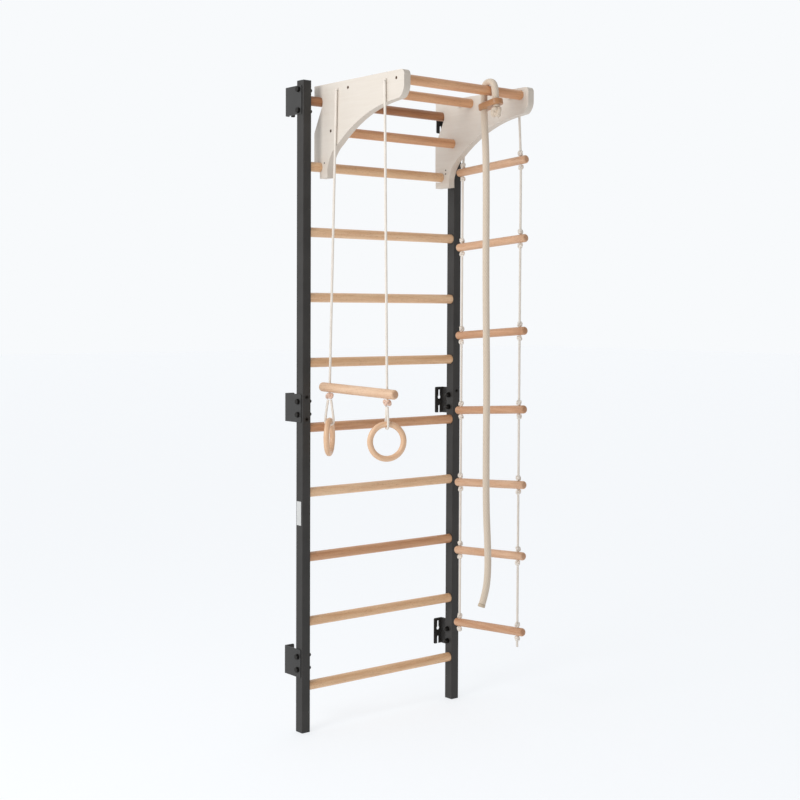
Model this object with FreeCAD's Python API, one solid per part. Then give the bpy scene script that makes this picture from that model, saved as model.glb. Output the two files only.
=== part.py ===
"""Wall bars: two steel posts with ten beech rungs on wall brackets, a hook-on pull-up unit with three
bars, and the hanging gear of that unit: a trapeze with two rings, a rope ladder and a climbing rope.

Millimetres. X runs along the rungs, the wall is on the +Y side, Z is up, and Z = 0 is the floor.
"""
import FreeCAD, Part
import math
import os

V = FreeCAD.Vector

# Overall sizes
overall_height = 2300.0
overall_width = 740.0
reach = 500.0
wall_gap = 65.0

# Posts, caps and feet
post_width = 35.0
post_wall = 2.0
post_corner = 3.0
cap_thickness = 4.0
foot_thickness = 5.0
plug_depth = 18.0
plug_fit = 0.2

# Rungs
rung_count = 10
rung_diameter = 34.0
top_rung_drop = 68.0
bottom_rung_height = 162.0
rung_hole_fit = 0.25
rung_end_gap = 0.5
rung_side_gap = 1.0
post_depth = rung_diameter + 2 * (post_wall + rung_side_gap)
edge_round = 2.0

# Wall brackets and their bolts
bracket_thickness = 3.0
bracket_height = 100.0
bracket_flange = 40.0
bracket_front = 12.0
bracket_corner = 5.0
middle_bracket_height = 1152.0
bottom_bracket_height = 247.0
keyhole_inset = 20.0
keyhole_slot = 8.0
keyhole_head = 14.0
keyhole_head_rise = 10.0
keyhole_top = 40.0
open_slot_top = -21.0
bolt_diameter = 10.0
bolt_setback = 5.0
bolt_spread_top = 73.0
bolt_spread_low = 46.0
bolt_fit = 0.25
bolt_head_width = 16.0
bolt_head_height = 6.4
washer_diameter = 20.0
washer_thickness = 2.0
nut_height = 8.0
nut_thread_fit = 0.05
dome_radius = 7.4

# Accessory inserts and the blank label on the left post
insert_diameter = 10.4
insert_flange = 14.0
insert_flange_thickness = 0.8
insert_length = 14.0
insert_bore = 6.8
insert_spread = 78.0
label_width = 26.0
label_height = 85.0
label_thickness = 0.5
label_centre_height = 780.0
label_setback = 2.0

# Pull-up unit
unit_side_play = 74.0
unit_width = overall_width - 2 * post_width - unit_side_play
unit_offset = 13.0
panel_thickness = 27.0
panel_rise = 58.0
panel_back = 32.0
hook_clearance = 0.4
toe_depth = 40.0
toe_front = 47.0
jaw_back = {"left": -2.0, "right": 30.0}
bar_diameter = 34.0
bar_screw_diameter = 5.0
bar_screw_length = 75.0
bar_screw_head = 10.0
lock_pin_diameter = 5.0
lock_pin_height = 1.0
pin_fit = 0.05

# Hanging gear
thin_rope = 9.0
rope_hole_fit = 0.35
trapeze_stand_off = 6.0
ladder_stand_off = 16.0
trapeze_drop = 1042.0
trapeze_bar_diameter = 33.0
trapeze_bar_rear = 24.0
trapeze_bar_front = 438.0
trapeze_rope_rear = 70.5
trapeze_rope_front = 393.0
trapeze_slope = 9.0
knot_radius = 12.5
knot_offset = 6.0
anchor_knot_radius = 10.0
anchor_seam = 135
ring_major = 58.0
ring_tube = 20.0
ring_hang_rear = 74.0
ring_hang_front = 59.0
ladder_rung_diameter = 30.0
ladder_rung_rear = 52.0
ladder_rung_front = 419.0
ladder_slope = 24.0
ladder_drops = [202.0, 484.0, 817.0, 1101.0, 1375.0, 1634.0, 1911.0]
ladder_knot_radius = 9.5
climbing_rope_diameter = 25.0
adjuster_length = 105.0
adjuster_width = 46.0
adjuster_thickness = 20.0
adjuster_tilt = 10.0
stopper_radius = 20.0
stopper_height = 38.0
seal_length = 12.0
seat_gap = 0.35
front_margin = 15.0

# Places worked out from the sizes
rung_y = (reach - front_margin - post_depth / 2 - wall_gap) / 2
wall_y = rung_y + post_depth / 2 + wall_gap
post_x = overall_width / 2
top_rung_z = overall_height - top_rung_drop
rung_pitch = (top_rung_z - bottom_rung_height) / (rung_count - 1)
rung_radius = rung_diameter / 2
bolt_y = rung_y + bolt_setback
unit_left = unit_offset - unit_width / 2
unit_right = unit_offset + unit_width / 2
hole_rise = 32.0
front_bar = (-(reach - 73.0), hole_rise)
middle_bar = (-164.0, hole_rise)
lower_bar = (-65.0, -108.0)
bar_places = {"front_bar": front_bar, "middle_bar": middle_bar, "lower_bar": lower_bar}
rear_hole = (-106.0, hole_rise)
front_hole = (-(reach - 126.0), hole_rise)
lock_pins = {"left": [(-29.0, -217.0)], "right": [(-28.0, -204.0), (-28.0, -218.0)]}
bracket_levels = {
    "top": (top_rung_z, bolt_spread_top),
    "middle": (middle_bracket_height, bolt_spread_low),
    "bottom": (bottom_bracket_height, bolt_spread_low),
}
trapeze_x = unit_left - trapeze_stand_off
ladder_x = unit_right + ladder_stand_off


def box(x0, x1, y0, y1, z0, z1):
    """A box between two corners, given in any order."""
    low = V(min(x0, x1), min(y0, y1), min(z0, z1))
    return Part.makeBox(abs(x1 - x0), abs(y1 - y0), abs(z1 - z0), low)


def rod(start, end, diameter):
    """A round rod between two points."""
    axis = end - start
    return Part.makeCylinder(diameter / 2, axis.Length, start, axis)


def rounded_rod(start, end, diameter, rounding):
    """A rod with a rounded edge at both ends."""
    body = rod(start, end, diameter)
    rims = [e for e in body.Edges if isinstance(e.Curve, Part.Circle)]
    return body.makeFillet(min(rounding, diameter * 0.45), rims)


def save(name, solids):
    """Write one node: a single solid or a group of separate ones."""
    shape = solids[0] if len(solids) == 1 else Part.makeCompound(solids)
    shape.exportStep("parts/" + name + ".step")


def at(x, u, h):
    """A point of the unit: u from the rung axis towards the wall, h above the top rung."""
    return V(x, rung_y + u, top_rung_z + h)


# Ropes

def rope_wire(points, given_radii):
    """Straight runs joined by tangent arcs, each as large as its two runs allow or of a given radius."""
    edges = []
    here = points[0]
    radii = []
    for i in range(1, len(points) - 1):
        corner = points[i]
        back = points[i - 1] - corner
        ahead = points[i + 1] - corner
        turn = math.pi - back.getAngle(ahead)
        tangent = 0.45 * min(back.Length, ahead.Length)
        radius = tangent / math.tan(turn / 2)
        if i in given_radii:
            radius = given_radii[i]
            tangent = radius * math.tan(turn / 2)
        radii.append(round(radius))
        back.normalize()
        ahead.normalize()
        inward = back + ahead
        inward.normalize()
        start = corner + back * tangent
        end = corner + ahead * tangent
        middle = corner + inward * (radius / math.cos(turn / 2) - radius)
        if (start - here).Length > 0.01:
            edges.append(Part.LineSegment(here, start).toShape())
        edges.append(Part.Arc(start, middle, end).toShape())
        here = end
    edges.append(Part.LineSegment(here, points[-1]).toShape())
    return Part.Wire(edges), radii


def tube(points, diameter, given_radii=None):
    """A round solid along a route, used for a rope and for the holes that it passes."""
    wire, radii = rope_wire(points, given_radii or {})
    section = Part.Wire(Part.makeCircle(diameter / 2, points[0], points[1] - points[0]))
    return wire.makePipeShell([section], True, False), wire, radii


def rope(label, points, diameter, given_radii=None):
    """A rope along its route; its bend radii, length and volume are printed."""
    solid, wire, radii = tube(points, diameter, given_radii)
    ratio = solid.Volume / (math.pi * diameter ** 2 / 4 * wire.Length)
    print(label, "length %.0f, volume ratio %.4f, bend radii %s" % (wire.Length, ratio, radii))
    return solid


def ball(centre, radius, seam=0):
    """A sphere; its seam is turned about Z by the angle seam, in degrees, clear of what joins it."""
    sphere = Part.makeSphere(radius, centre)
    sphere.rotate(centre, V(0, 0, 1), seam)
    return sphere


# Frame

def post(side):
    """A box tube with holes for the rungs, the bracket bolts and the front inserts."""
    outer = side * post_x
    inner = outer - side * post_width
    front = rung_y - post_depth / 2
    back = rung_y + post_depth / 2
    low = foot_thickness
    high = overall_height - cap_thickness
    body = box(outer, inner, front, back, low, high)
    uprights = [e for e in body.Edges if e.Length > high - low - 1]
    body = body.makeFillet(post_corner, uprights)
    hollow = box(outer - side * post_wall, inner + side * post_wall,
                 front + post_wall, back - post_wall, low - 1, high + 1)
    body = body.cut(hollow)
    cutters = []
    for z in rung_heights():
        middle = V(outer - side * post_width / 2, rung_y, z)
        cutters.append(rod(middle, V(inner - side * 5, rung_y, z), rung_diameter + 2 * rung_hole_fit))
    for z in bolt_heights():
        cutters.append(rod(V(outer + side * 5, bolt_y, z), V(inner - side * 5, bolt_y, z),
                           bolt_diameter + 2 * bolt_fit))
    for z in insert_heights():
        x = outer - side * post_width / 2
        cutters.append(rod(V(x, front - 5, z), V(x, front + 5, z), insert_diameter + 0.2))
    return body.cut(cutters)


def rung_heights():
    return [top_rung_z - i * rung_pitch for i in range(rung_count)]


def bolt_heights():
    heights = []
    for level, spread in bracket_levels.values():
        heights += [level + spread / 2, level - spread / 2]
    return heights


def insert_heights():
    return [middle_bracket_height + insert_spread / 2, middle_bracket_height - insert_spread / 2]


def end_plug(side, z_face, thickness, up):
    """A plate over a post's end with a hollow plug inside the tube; up is 1 for a cap, -1 for a foot."""
    outer = side * post_x
    inner = outer - side * post_width
    front = rung_y - post_depth / 2
    back = rung_y + post_depth / 2
    plate = box(outer, inner, front, back, z_face, z_face + up * thickness)
    uprights = [e for e in plate.Edges if abs(e.Length - thickness) < 0.01]
    plate = plate.makeFillet(post_corner, uprights)
    far = z_face + up * thickness
    rim = [e for e in plate.Edges if abs(e.BoundBox.ZMin - far) < 0.01 and abs(e.BoundBox.ZMax - far) < 0.01]
    plate = plate.makeFillet(1.2, rim)
    inset = post_wall + plug_fit
    plug = box(outer - side * inset, inner + side * inset, front + inset, back - inset,
               z_face, z_face - up * plug_depth)
    skirt = inset + 2.0
    hollow = box(outer - side * skirt, inner + side * skirt, front + skirt, back - skirt,
                 z_face, z_face - up * (plug_depth + 1))
    return plate.fuse(plug.cut(hollow)).removeSplitter()


def rung(z):
    """A round rung, held between the outer walls of the two posts."""
    end = post_x - post_wall - rung_end_gap
    return rounded_rod(V(-end, rung_y, z), V(end, rung_y, z), rung_diameter, edge_round)


def bracket(side, level, spread):
    """An angle plate: one leg on the post's outer side, the other flat on the wall with its keyhole."""
    face = side * post_x
    outside = face + side * bracket_thickness
    low = level - bracket_height / 2
    high = level + bracket_height / 2
    leg = box(face, outside, rung_y - bracket_front, wall_y, low, high)
    front_corners = [e for e in leg.Edges if abs(e.Length - bracket_thickness) < 0.01
                     and e.BoundBox.YMax < rung_y]
    leg = leg.makeFillet(bracket_corner, front_corners)
    tip = outside - side * bracket_flange
    flange = box(outside, tip, wall_y - bracket_thickness, wall_y, low, high)
    tip_corners = [e for e in flange.Edges if abs(e.Length - bracket_thickness) < 0.01
                   and abs(e.BoundBox.XMin - tip) < 0.01]
    flange = flange.makeFillet(bracket_corner, tip_corners)
    body = leg.fuse(flange).removeSplitter()
    bend = [e for e in body.Edges if e.Length > bracket_height - 1
            and abs(e.BoundBox.XMin - outside) < 0.01 and abs(e.BoundBox.YMin - wall_y) < 0.01]
    body = body.makeFillet(bracket_thickness - 0.5, bend)
    x = outside - side * keyhole_inset
    y0 = wall_y - 2 * bracket_thickness
    y1 = wall_y + bracket_thickness
    head = level + keyhole_head_rise
    slot_end = level + keyhole_top - keyhole_slot / 2
    open_end = level + open_slot_top - keyhole_slot / 2
    half = keyhole_slot / 2
    cutters = [
        rod(V(x, y0, head), V(x, y1, head), keyhole_head),
        box(x - half, x + half, y0, y1, head, slot_end),
        rod(V(x, y0, slot_end), V(x, y1, slot_end), keyhole_slot),
        box(x - half, x + half, y0, y1, low - 1, open_end),
        rod(V(x, y0, open_end), V(x, y1, open_end), keyhole_slot),
    ]
    for z in (level + spread / 2, level - spread / 2):
        cutters.append(rod(V(face - side * 5, bolt_y, z), V(outside + side * 5, bolt_y, z),
                           bolt_diameter + 2 * bolt_fit))
    return body.cut(cutters)


def hexagon(x0, x1, y, z, width):
    """A hexagonal prism along X."""
    corner = width / math.sqrt(3)
    points = []
    for i in range(7):
        angle = math.radians(60 * i + 30)
        points.append(V(x0, y + corner * math.cos(angle), z + corner * math.sin(angle)))
    return Part.Face(Part.makePolygon(points)).extrude(V(x1 - x0, 0, 0))


def washer(x0, side, z):
    """A washer that starts at x0 and grows to the outside of the given side."""
    disc = rod(V(x0, bolt_y, z), V(x0 + side * washer_thickness, bolt_y, z), washer_diameter)
    bore = rod(V(x0 - side, bolt_y, z), V(x0 + side * (washer_thickness + 1), bolt_y, z),
               bolt_diameter + 2 * bolt_fit)
    return disc.cut(bore)


def bracket_bolts():
    """Bolts with a chamfered hexagon head outside the bracket; they end inside the domed nut."""
    bolts = []
    for side in (-1, 1):
        seat = side * (post_x + bracket_thickness + washer_thickness)
        tip = side * (post_x - post_width - washer_thickness - nut_height)
        for z in bolt_heights():
            head = hexagon(seat, seat + side * bolt_head_height, bolt_y, z, bolt_head_width)
            cone = Part.makeCone(bolt_head_width * 0.66, bolt_head_width * 0.54, bolt_head_height,
                                 V(seat, bolt_y, z), V(side, 0, 0))
            shank = rod(V(seat, bolt_y, z), V(tip, bolt_y, z), bolt_diameter)
            bolts.append(head.common(cone).fuse(shank).removeSplitter())
    return bolts


def bolt_washers():
    """One washer under each bolt head and one under each nut."""
    washers = []
    for side in (-1, 1):
        for z in bolt_heights():
            washers.append(washer(side * (post_x + bracket_thickness), side, z))
            washers.append(washer(side * (post_x - post_width), -side, z))
    return washers


def dome_nuts():
    """Cap nuts inside the posts: a hexagon, then a dome over the bolt's tip."""
    nuts = []
    for side in (-1, 1):
        seat = side * (post_x - post_width - washer_thickness)
        top = seat - side * nut_height
        for z in bolt_heights():
            body = hexagon(seat, top, bolt_y, z, bolt_head_width)
            body = body.fuse(rod(V(top, bolt_y, z), V(top - side * 2, bolt_y, z), 2 * dome_radius))
            body = body.fuse(ball(V(top - side * 2, bolt_y, z), dome_radius))
            bore = rod(V(seat + side, bolt_y, z), V(top - side * 1.0, bolt_y, z),
                       bolt_diameter + 2 * nut_thread_fit)
            nuts.append(body.cut(bore).removeSplitter())
    return nuts


def accessory_inserts():
    """Threaded inserts in the front wall of both posts, just above and below the middle bracket."""
    inserts = []
    front = rung_y - post_depth / 2
    for side in (-1, 1):
        x = side * (post_x - post_width / 2)
        for z in insert_heights():
            flange = rod(V(x, front - insert_flange_thickness, z), V(x, front, z), insert_flange)
            sleeve = rod(V(x, front, z), V(x, front + insert_length, z), insert_diameter)
            bore = rod(V(x, front - 2, z), V(x, front + insert_length + 1, z), insert_bore)
            inserts.append(flange.fuse(sleeve).cut(bore).removeSplitter())
    return inserts


def blank_label():
    """A blank sticker on the outer side of the left post."""
    low = label_centre_height - label_height / 2
    front = rung_y + label_setback - label_width / 2
    return box(-post_x, -post_x - label_thickness, front, front + label_width, low, low + label_height)


# Pull-up unit

def panel_outline(x, jaw_end):
    """The side panel's outline: hook over the top rung, nose in front, curved underside, toe at rung two."""
    seat = rung_radius + hook_clearance
    nose = panel_back - reach
    toe = -rung_pitch - toe_depth
    hip = at(x, nose + 358, -155)
    knee = at(x, -toe_front + 1, toe + 30)
    edges = [
        Part.LineSegment(at(x, seat, 0), at(x, panel_back, 0)),
        Part.LineSegment(at(x, panel_back, 0), at(x, panel_back, panel_rise)),
        Part.LineSegment(at(x, panel_back, panel_rise), at(x, nose + 18, panel_rise)),
        Part.Arc(at(x, nose + 18, panel_rise), at(x, nose + 5, panel_rise - 5), at(x, nose, panel_rise - 18)),
        Part.LineSegment(at(x, nose, panel_rise - 18), at(x, nose, 6)),
        Part.Arc(at(x, nose, 6), at(x, nose + 7, -17), at(x, nose + 24, -34)),
        Part.LineSegment(at(x, nose + 24, -34), at(x, nose + 86, -41)),
        Part.Arc(at(x, nose + 86, -41), at(x, nose + 236, -83), hip),
        Part.Arc(hip, at(x, -64, -197 + (230 - rung_pitch) / 2), knee),
        Part.LineSegment(knee, at(x, -toe_front, toe)),
        Part.LineSegment(at(x, -toe_front, toe), at(x, jaw_end, toe)),
        Part.LineSegment(at(x, jaw_end, toe), at(x, jaw_end, -rung_pitch)),
    ]
    if jaw_end < panel_back:
        edges.append(Part.LineSegment(at(x, jaw_end, -rung_pitch), at(x, panel_back, -rung_pitch)))
    edges += [
        Part.LineSegment(at(x, panel_back, -rung_pitch), at(x, panel_back, -107)),
        Part.LineSegment(at(x, panel_back, -107), at(x, -seat, -12)),
        Part.LineSegment(at(x, -seat, -12), at(x, -seat, 0)),
        Part.Arc(at(x, -seat, 0), at(x, 0, seat), at(x, seat, 0)),
    ]
    return Part.Wire([e.toShape() for e in edges])


def toe_notch(x0, x1):
    """The space that rung two needs: a round seat, open to the wall along the hook's swing."""
    width = abs(x1 - x0) + 2
    start = min(x0, x1) - 1
    centre = at(start, 0, 0)
    slack = hook_clearance + 0.3
    far = Part.makeCylinder(rung_pitch + rung_radius + slack, width, centre, V(1, 0, 0))
    near = Part.makeCylinder(rung_pitch - rung_radius - slack, width, centre, V(1, 0, 0))
    sector = box(start, start + width, rung_y, rung_y + panel_back + 30,
                 top_rung_z - rung_pitch - 60, top_rung_z - rung_pitch + 60)
    seat = Part.makeCylinder(rung_radius + hook_clearance, width, at(start, 0, -rung_pitch), V(1, 0, 0))
    return far.cut(near).common(sector).fuse(seat)


def side_panel(side_name):
    """A rounded board with the hook, the toe notch and the holes for bars, ropes and lock pins."""
    x0 = unit_left if side_name == "left" else unit_right - panel_thickness
    x1 = x0 + panel_thickness
    outline = panel_outline(x0, jaw_back[side_name])
    body = Part.Face(outline).extrude(V(panel_thickness, 0, 0))
    body = body.cut(toe_notch(x0, x1))
    outside = x0 if side_name == "left" else x1
    outward = -1 if side_name == "left" else 1
    cutters = []
    for u, h in bar_places.values():
        hole = rod(at(x0 - 1, u, h), at(x1 + 1, u, h), bar_screw_diameter + 1)
        depth = 3.0
        sink = rod(at(outside + outward, u, h), at(outside - outward * depth, u, h), bar_screw_head + 1)
        cutters += [hole, sink]
    for u, h in (rear_hole, front_hole):
        cutters.append(rod(at(x0 - 1, u, h), at(x1 + 1, u, h), thin_rope + 2 * rope_hole_fit))
    for u, h in lock_pins[side_name]:
        cutters.append(rod(at(x0 - 1, u, h + 230 - rung_pitch), at(x1 + 1, u, h + 230 - rung_pitch),
                           lock_pin_diameter + 2 * pin_fit))
    return body.cut(cutters)


def pull_up_bar(u, h):
    """A bar between the panels with a pilot hole for the screw in each end."""
    x0 = unit_left + panel_thickness
    x1 = unit_right - panel_thickness
    body = rod(at(x0, u, h), at(x1, u, h), bar_diameter)
    depth = bar_screw_length - panel_thickness + 2
    pilot = bar_screw_diameter + 2 * pin_fit
    left = rod(at(x0 - 1, u, h), at(x0 + depth, u, h), pilot)
    right = rod(at(x1 + 1, u, h), at(x1 - depth, u, h), pilot)
    return body.cut([left, right])


def bar_screws():
    """Six screws, sunk in the panels' outer faces, that hold the bars."""
    screws = []
    for outside, inward in ((unit_left, 1), (unit_right, -1)):
        for u, h in bar_places.values():
            top = outside + inward * 1.0
            head = rod(at(top, u, h), at(top + inward * 2.0, u, h), bar_screw_head)
            shank = rod(at(top, u, h), at(top + inward * (bar_screw_length - 1), u, h), bar_screw_diameter)
            drive = hexagon(top - inward, top + inward * 1.2, rung_y + u, top_rung_z + h, 4.0)
            screws.append(head.fuse(shank).cut(drive).removeSplitter())
    return screws


def lock_pin_group():
    """Short pins beside the toe notches."""
    pins = []
    for side_name, places in lock_pins.items():
        x0 = unit_left if side_name == "left" else unit_right - panel_thickness
        for u, h in places:
            z = h + 230 - rung_pitch
            pins.append(rod(at(x0 - lock_pin_height, u, z),
                            at(x0 + panel_thickness + lock_pin_height, u, z), lock_pin_diameter))
    return pins


def rope_anchors(outside, outward, stand_off):
    """The ropes' upper ends: through the panel, with a stopper knot on its inner face."""
    anchors = []
    for u, h in (rear_hole, front_hole):
        knot_x = outside - outward * (panel_thickness + seat_gap + anchor_knot_radius)
        knot = ball(at(knot_x, u, h), anchor_knot_radius, anchor_seam)
        stub = rod(at(knot_x, u, h), at(outside + outward * stand_off, u, h), thin_rope)
        elbow = ball(at(outside + outward * stand_off, u, h), thin_rope / 2, anchor_seam)
        anchors.append(knot.fuse(stub).fuse(elbow).removeSplitter())
    return anchors


# Trapeze with two rings

def trapeze_places():
    """For each rope: its name, its hole's u, its u at the bar, and the bar's height there."""
    span = trapeze_bar_front - trapeze_bar_rear
    places = []
    ropes = (("rear", rear_hole[0], -trapeze_rope_rear), ("front", front_hole[0], -trapeze_rope_front))
    for name, hole, u in ropes:
        share = (-u - trapeze_bar_rear) / span - 0.5
        places.append((name, hole, u, hole_rise - trapeze_drop - share * trapeze_slope))
    return places


def below_anchor(x, hole_u, lower):
    """Where a rope starts: just off its anchor's round end, on the way to a lower point."""
    anchor = at(x, hole_u, hole_rise)
    direction = lower - anchor
    direction.normalize()
    return anchor + direction * (thin_rope / 2 + seat_gap)


def knot_pair(x, u, h):
    """A double knot: two turns side by side along Y."""
    first = ball(at(x, u - knot_offset, h), knot_radius)
    second = ball(at(x, u + knot_offset, h), knot_radius)
    return first.fuse(second).removeSplitter()


def build_trapeze():
    """The bar, its two ropes and the knots under it."""
    bar_h = hole_rise - trapeze_drop
    rear = at(trapeze_x, -trapeze_bar_rear, bar_h + trapeze_slope / 2)
    front = at(trapeze_x, -trapeze_bar_front, bar_h - trapeze_slope / 2)
    bar = rounded_rod(rear, front, trapeze_bar_diameter, 9.0)
    knots = []
    for name, hole, u, h in trapeze_places():
        knot_h = h - trapeze_bar_diameter / 2 - seat_gap - knot_radius
        low = at(trapeze_x, u, knot_h)
        route = [below_anchor(trapeze_x, hole, low), low]
        direction = route[1] - route[0]
        direction.normalize()
        bar = bar.cut(rod(low - direction * 60, low, thin_rope + 2 * rope_hole_fit))
        knot = knot_pair(trapeze_x, u, knot_h)
        save("trapeze_rope_" + name, [rope("trapeze_rope_" + name, route, thin_rope).cut(knot)])
        knots.append(knot)
    save("trapeze_bar", [bar])
    save("trapeze_knots", knots)


def build_ring(name, u, h, hang, heading):
    """A wooden ring in a vertical plane, with the rope loop that carries it."""
    knot_h = h - trapeze_bar_diameter / 2 - seat_gap - knot_radius
    top_h = knot_h - knot_radius - hang
    plane = V(math.cos(heading), math.sin(heading), 0)
    across = V(-math.sin(heading), math.cos(heading), 0)
    centre = at(trapeze_x, u, top_h - ring_major)
    ring = Part.makeTorus(ring_major, ring_tube / 2, centre, across)
    crown = at(trapeze_x, u, top_h)
    side = ring_tube / 2 + thin_rope / 2 + seat_gap
    neck = thin_rope / 2 + 0.8
    up = V(0, 0, hang - 2 * seat_gap)
    lift = V(0, 0, ring_tube / 2)
    drop = V(0, 0, -side)
    points = [
        crown + up - across * neck,
        crown + lift - across * side,
        crown + drop - across * side,
        crown + drop + across * side,
        crown + lift + across * side,
        crown + up + across * neck,
    ]
    loop = rope("ring_rope_" + name, points, thin_rope, {2: side * 0.9, 3: side * 0.9})
    save("ring_" + name, [ring])
    save("ring_rope_" + name, [loop])


# Rope ladder

def ladder_route(hole_u, u_top, u_low):
    """From the anchor to the first rung, then down past the last one."""
    first_rung = at(ladder_x, u_top, -ladder_drops[0] + 40)
    return [
        below_anchor(ladder_x, hole_u, first_rung),
        first_rung,
        at(ladder_x, u_low, -ladder_drops[-1] - 46),
    ]


def build_ladder():
    """Seven rungs on two ropes, with a knot above and below each rung on both ropes."""
    routes = {
        "rear": ladder_route(rear_hole[0], -76.0, -73.0),
        "front": ladder_route(front_hole[0], -389.0, -387.0),
    }
    bores = []
    for name, route in routes.items():
        save("ladder_rope_" + name, [rope("ladder_rope_" + name, route, thin_rope)])
        bores.append(tube(route, thin_rope + 2 * rope_hole_fit)[0])
    knots = []
    span = ladder_rung_front - ladder_rung_rear
    for i, drop in enumerate(ladder_drops):
        rear = at(ladder_x, -ladder_rung_rear, -drop - ladder_slope / 2)
        front = at(ladder_x, -ladder_rung_front, -drop + ladder_slope / 2)
        body = rounded_rod(rear, front, ladder_rung_diameter, 8.0).cut(bores)
        save("ladder_rung_%d" % (i + 1), [body])
        for name, u in (("rear", -74.5), ("front", -388.0)):
            share = (-u - ladder_rung_rear) / span - 0.5
            level = -drop + share * ladder_slope
            lift = ladder_rung_diameter / 2 + ladder_knot_radius + seat_gap + 0.4
            for way in (1, -1):
                centre = at(ladder_x, knot_u(routes[name], level + way * lift), level + way * lift)
                knots.append(ball(centre, ladder_knot_radius).cut(bores))
    save("ladder_knots", knots)


def knot_u(route, h):
    """The rope's u at the height h above the top rung, on its two straight runs."""
    z = top_rung_z + h
    first, second, third = route
    start, end = (first, second) if z > second.z else (second, third)
    share = (start.z - z) / (start.z - end.z)
    return start.y + (end.y - start.y) * share - rung_y


# Climbing rope

def climbing_route():
    """From the stopper knot up in front of the bar, over it, down behind, and on down to the free end."""
    wrap = bar_diameter / 2 + climbing_rope_diameter / 2 + seat_gap
    u, h = front_bar
    route = [
        at(136, u - 33, h - 57.5),
        at(134, u - 32, h - 25),
        at(129, u - wrap, h + wrap),
        at(135, u + wrap, h + wrap),
        at(138, u + wrap + 0.5, h - 48),
        at(135, u + 25, h - 105),
        at(128, u + 9, h - 205),
        at(121, u - 2, h - 360),
        at(119, u - 4, h - 560),
        at(126, u + 1, h - 760),
        at(130, u - 1, h - 1030),
        at(127, u - 3, h - 1240),
        at(131, u, h - 1460),
        at(140, u - 1, h - 1600),
        at(140, u - 2, h - 1690),
        at(131, u - 2, h - 1755),
        at(116, u + 1, h - 1798),
    ]
    return route, {2: wrap, 3: wrap}


def adjuster():
    """A flat wooden adjuster with rounded ends, across both strands of the rope's loop."""
    u, h = front_bar
    half = adjuster_length / 2 - adjuster_width / 2
    thickness = adjuster_thickness
    left_end = Part.makeCylinder(adjuster_width / 2, thickness, V(0, -half, -thickness / 2))
    right_end = Part.makeCylinder(adjuster_width / 2, thickness, V(0, half, -thickness / 2))
    middle = box(-adjuster_width / 2, adjuster_width / 2, -half, half, -thickness / 2, thickness / 2)
    body = middle.fuse([left_end, right_end]).removeSplitter()
    rims = [e for e in body.Edges if e.BoundBox.ZLength < 0.01]
    body = body.makeFillet(3.0, rims)
    body.rotate(V(0, 0, 0), V(1, 0, 0), -adjuster_tilt)
    body.translate(at(136, u - 5, h - 48))
    return body


def build_climbing_rope():
    """The thick rope, its adjuster, the stopper knot and the sealed end."""
    route, wraps = climbing_route()
    bore = tube(route, climbing_rope_diameter + 2 * rope_hole_fit, wraps)[0]
    save("climbing_rope", [rope("climbing_rope", route, climbing_rope_diameter, wraps)])
    save("rope_adjuster", [adjuster().cut(bore)])
    start = route[0]
    upward = route[1] - route[0]
    upward.normalize()
    save("rope_stopper_knot", [rounded_rod(start, start - upward * stopper_height, 2 * stopper_radius, 9.0)])
    end = route[-1]
    onward = route[-1] - route[-2]
    onward.normalize()
    save("rope_end_seal", [rounded_rod(end, end + onward * seal_length, climbing_rope_diameter + 1.0, 3.0)])


os.makedirs("parts", exist_ok=True)

for side_name, side in (("left", -1), ("right", 1)):
    save(side_name + "_post", [post(side)])
    save(side_name + "_top_cap", [end_plug(side, overall_height - cap_thickness, cap_thickness, 1)])
    save(side_name + "_foot", [end_plug(side, foot_thickness, foot_thickness, -1)])
    for level_name, (level, spread) in bracket_levels.items():
        save("%s_%s_bracket" % (side_name, level_name), [bracket(side, level, spread)])
    save(side_name + "_side_panel", [side_panel(side_name)])
for number, z in enumerate(rung_heights()):
    save("rung_%02d" % (number + 1), [rung(z)])
save("bracket_bolts", bracket_bolts())
save("bolt_washers", bolt_washers())
save("dome_nuts", dome_nuts())
save("accessory_inserts", accessory_inserts())
save("blank_label", [blank_label()])
for bar_name, (u, h) in bar_places.items():
    save(bar_name, [pull_up_bar(u, h)])
save("bar_screws", bar_screws())
save("lock_pins", lock_pin_group())
save("trapeze_anchors", rope_anchors(unit_left, -1, trapeze_stand_off))
save("ladder_anchors", rope_anchors(unit_right, 1, ladder_stand_off))
build_trapeze()
rear_place, front_place = trapeze_places()
build_ring("rear", rear_place[2], rear_place[3], ring_hang_rear, math.radians(43))
build_ring("front", front_place[2], front_place[3], ring_hang_front, math.radians(-24))
build_ladder()
build_climbing_rope()
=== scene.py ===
# %% [markdown]
# # Wall bars with a pull-up unit
# Two steel posts carry ten beech rungs. A pair of pale boards hooks over the top rung and holds three
# pull-up bars, and from the boards hang a trapeze with two rings, a rope ladder and a climbing rope.
# The frame comes ready made, with every part at its real size. This file gives each part its finish,
# rounds the boards, plaits the ropes, ties the knots, and sets up the camera and the light.

# %% Load the frame
import math

import bpy
from mathutils import Matrix, Vector


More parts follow.
